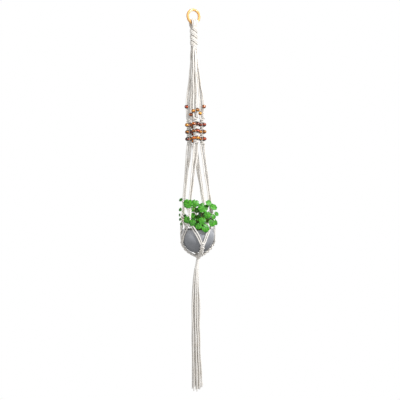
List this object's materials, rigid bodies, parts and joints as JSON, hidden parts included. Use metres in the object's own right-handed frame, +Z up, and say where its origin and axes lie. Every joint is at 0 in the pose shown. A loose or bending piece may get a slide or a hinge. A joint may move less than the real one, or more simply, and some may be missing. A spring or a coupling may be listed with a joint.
{
  "type": "hanging macrame planter",
  "caption": "Knotted cotton cord hanger with wooden ring, turned wooden beads and long tassel, holding a round-bottomed grey pot with a leafy plant.",
  "frame": {"origin": "the highest point inside the wooden ring, where a ceiling hook bears", "axes": "+Z up along the hanging line; the pot's four cradle sinnets lie on the X and Y axes and -Y is the front"},
  "size_m": [0.1055, 0.103, 1.0446],
  "materials": {
    "cotton_cord": "matte off-white twisted cotton",
    "ring_wood": "clear varnished golden wood",
    "bead_wood": "glossy varnished turned wood, from golden yellow to dark red-brown",
    "pot_grey": "matte grey stoneware",
    "soil": "dark crumbly potting soil",
    "stem": "brown-green plant stem",
    "leaf": "satin bright green leaf"
  },
  "bodies": {
    "root": {"hanging_ring": "ring_wood"},
    "harness": {"ring_loops": "cotton_cord", "crown_sinnet": "cotton_cord", "front_left_upper_cords": "cotton_cord", "front_left_knots": "cotton_cord", "front_left_beads": "bead_wood", "front_left_lower_cords": "cotton_cord", "front_right_upper_cords": "cotton_cord", "front_right_knots": "cotton_cord", "front_right_beads": "bead_wood", "front_right_lower_cords": "cotton_cord", "back_right_upper_cords": "cotton_cord", "back_right_knots": "cotton_cord", "back_right_beads": "bead_wood", "back_right_lower_cords": "cotton_cord", "back_left_upper_cords": "cotton_cord", "back_left_knots": "cotton_cord", "back_left_beads": "bead_wood", "back_left_lower_cords": "cotton_cord", "rim_knots": "cotton_cord", "front_sinnet": "cotton_cord", "front_net_cords": "cotton_cord", "right_sinnet": "cotton_cord", "right_net_cords": "cotton_cord", "back_sinnet": "cotton_cord", "back_net_cords": "cotton_cord", "left_sinnet": "cotton_cord", "left_net_cords": "cotton_cord", "gathering_knot": "cotton_cord"},
    "pot": {"pot": "pot_grey", "soil": "soil", "plant_stems": "stem", "leaves": "leaf"},
    "tassel": {"tassel_neck": "cotton_cord", "tassel_cord_01": "cotton_cord", "tassel_cord_02": "cotton_cord", "tassel_cord_03": "cotton_cord", "tassel_cord_04": "cotton_cord", "tassel_cord_05": "cotton_cord", "tassel_cord_06": "cotton_cord", "tassel_cord_07": "cotton_cord", "tassel_cord_08": "cotton_cord", "tassel_cord_09": "cotton_cord", "tassel_cord_10": "cotton_cord", "tassel_cord_11": "cotton_cord", "tassel_cord_12": "cotton_cord", "tassel_cord_13": "cotton_cord", "tassel_cord_14": "cotton_cord", "tassel_cord_15": "cotton_cord", "tassel_cord_16": "cotton_cord"},
    "front_left_loose_bead_1": {"front_left_loose_bead_1": "bead_wood"},
    "front_left_loose_bead_2": {"front_left_loose_bead_2": "bead_wood"},
    "front_right_loose_bead_1": {"front_right_loose_bead_1": "bead_wood"},
    "front_right_loose_bead_2": {"front_right_loose_bead_2": "bead_wood"},
    "back_right_loose_bead_1": {"back_right_loose_bead_1": "bead_wood"},
    "back_right_loose_bead_2": {"back_right_loose_bead_2": "bead_wood"},
    "back_left_loose_bead_1": {"back_left_loose_bead_1": "bead_wood"},
    "back_left_loose_bead_2": {"back_left_loose_bead_2": "bead_wood"}
  },
  "joints": [
    {"name": "ring_swing", "type": "hinge", "parent": "root", "child": "harness", "pos_m": [0, 0, -0.03175], "axis": [0.9703, 0.2419, 0], "range_deg": [-25, 25]},
    {"name": "pot_turn", "type": "hinge", "parent": "harness", "child": "pot", "pos_m": [0, 0, -0.62], "axis": [0, 0, 1], "range_deg": [-2, 2]},
    {"name": "tassel_swing", "type": "hinge", "parent": "harness", "child": "tassel", "pos_m": [0, 0, -0.668], "axis": [1, 0, 0], "range_deg": [-25, 25]},
    {"name": "front_left_loose_bead_1_slide", "type": "slide", "parent": "harness", "child": "front_left_loose_bead_1", "axis": [0, 0, 1], "range_m": [-0.0134, 0.0181]},
    {"name": "front_left_loose_bead_2_slide", "type": "slide", "parent": "harness", "child": "front_left_loose_bead_2", "axis": [0, 0, 1], "range_m": [-0.0164, 0.0151]},
    {"name": "front_right_loose_bead_1_slide", "type": "slide", "parent": "harness", "child": "front_right_loose_bead_1", "axis": [0, 0, 1], "range_m": [-0.0104, 0.0241]},
    {"name": "front_right_loose_bead_2_slide", "type": "slide", "parent": "harness", "child": "front_right_loose_bead_2", "axis": [0, 0, 1], "range_m": [-0.0282, 0.0063]},
    {"name": "back_right_loose_bead_1_slide", "type": "slide", "parent": "harness", "child": "back_right_loose_bead_1", "axis": [0, 0, 1], "range_m": [-0.0145, 0.025]},
    {"name": "back_right_loose_bead_2_slide", "type": "slide", "parent": "harness", "child": "back_right_loose_bead_2", "axis": [0, 0, 1], "range_m": [-0.009, 0.0305]},
    {"name": "back_left_loose_bead_1_slide", "type": "slide", "parent": "harness", "child": "back_left_loose_bead_1", "axis": [0, 0, 1], "range_m": [-0.0286, 0.0059]},
    {"name": "back_left_loose_bead_2_slide", "type": "slide", "parent": "harness", "child": "back_left_loose_bead_2", "axis": [0, 0, 1], "range_m": [-0.0071, 0.0274]}
  ]
}
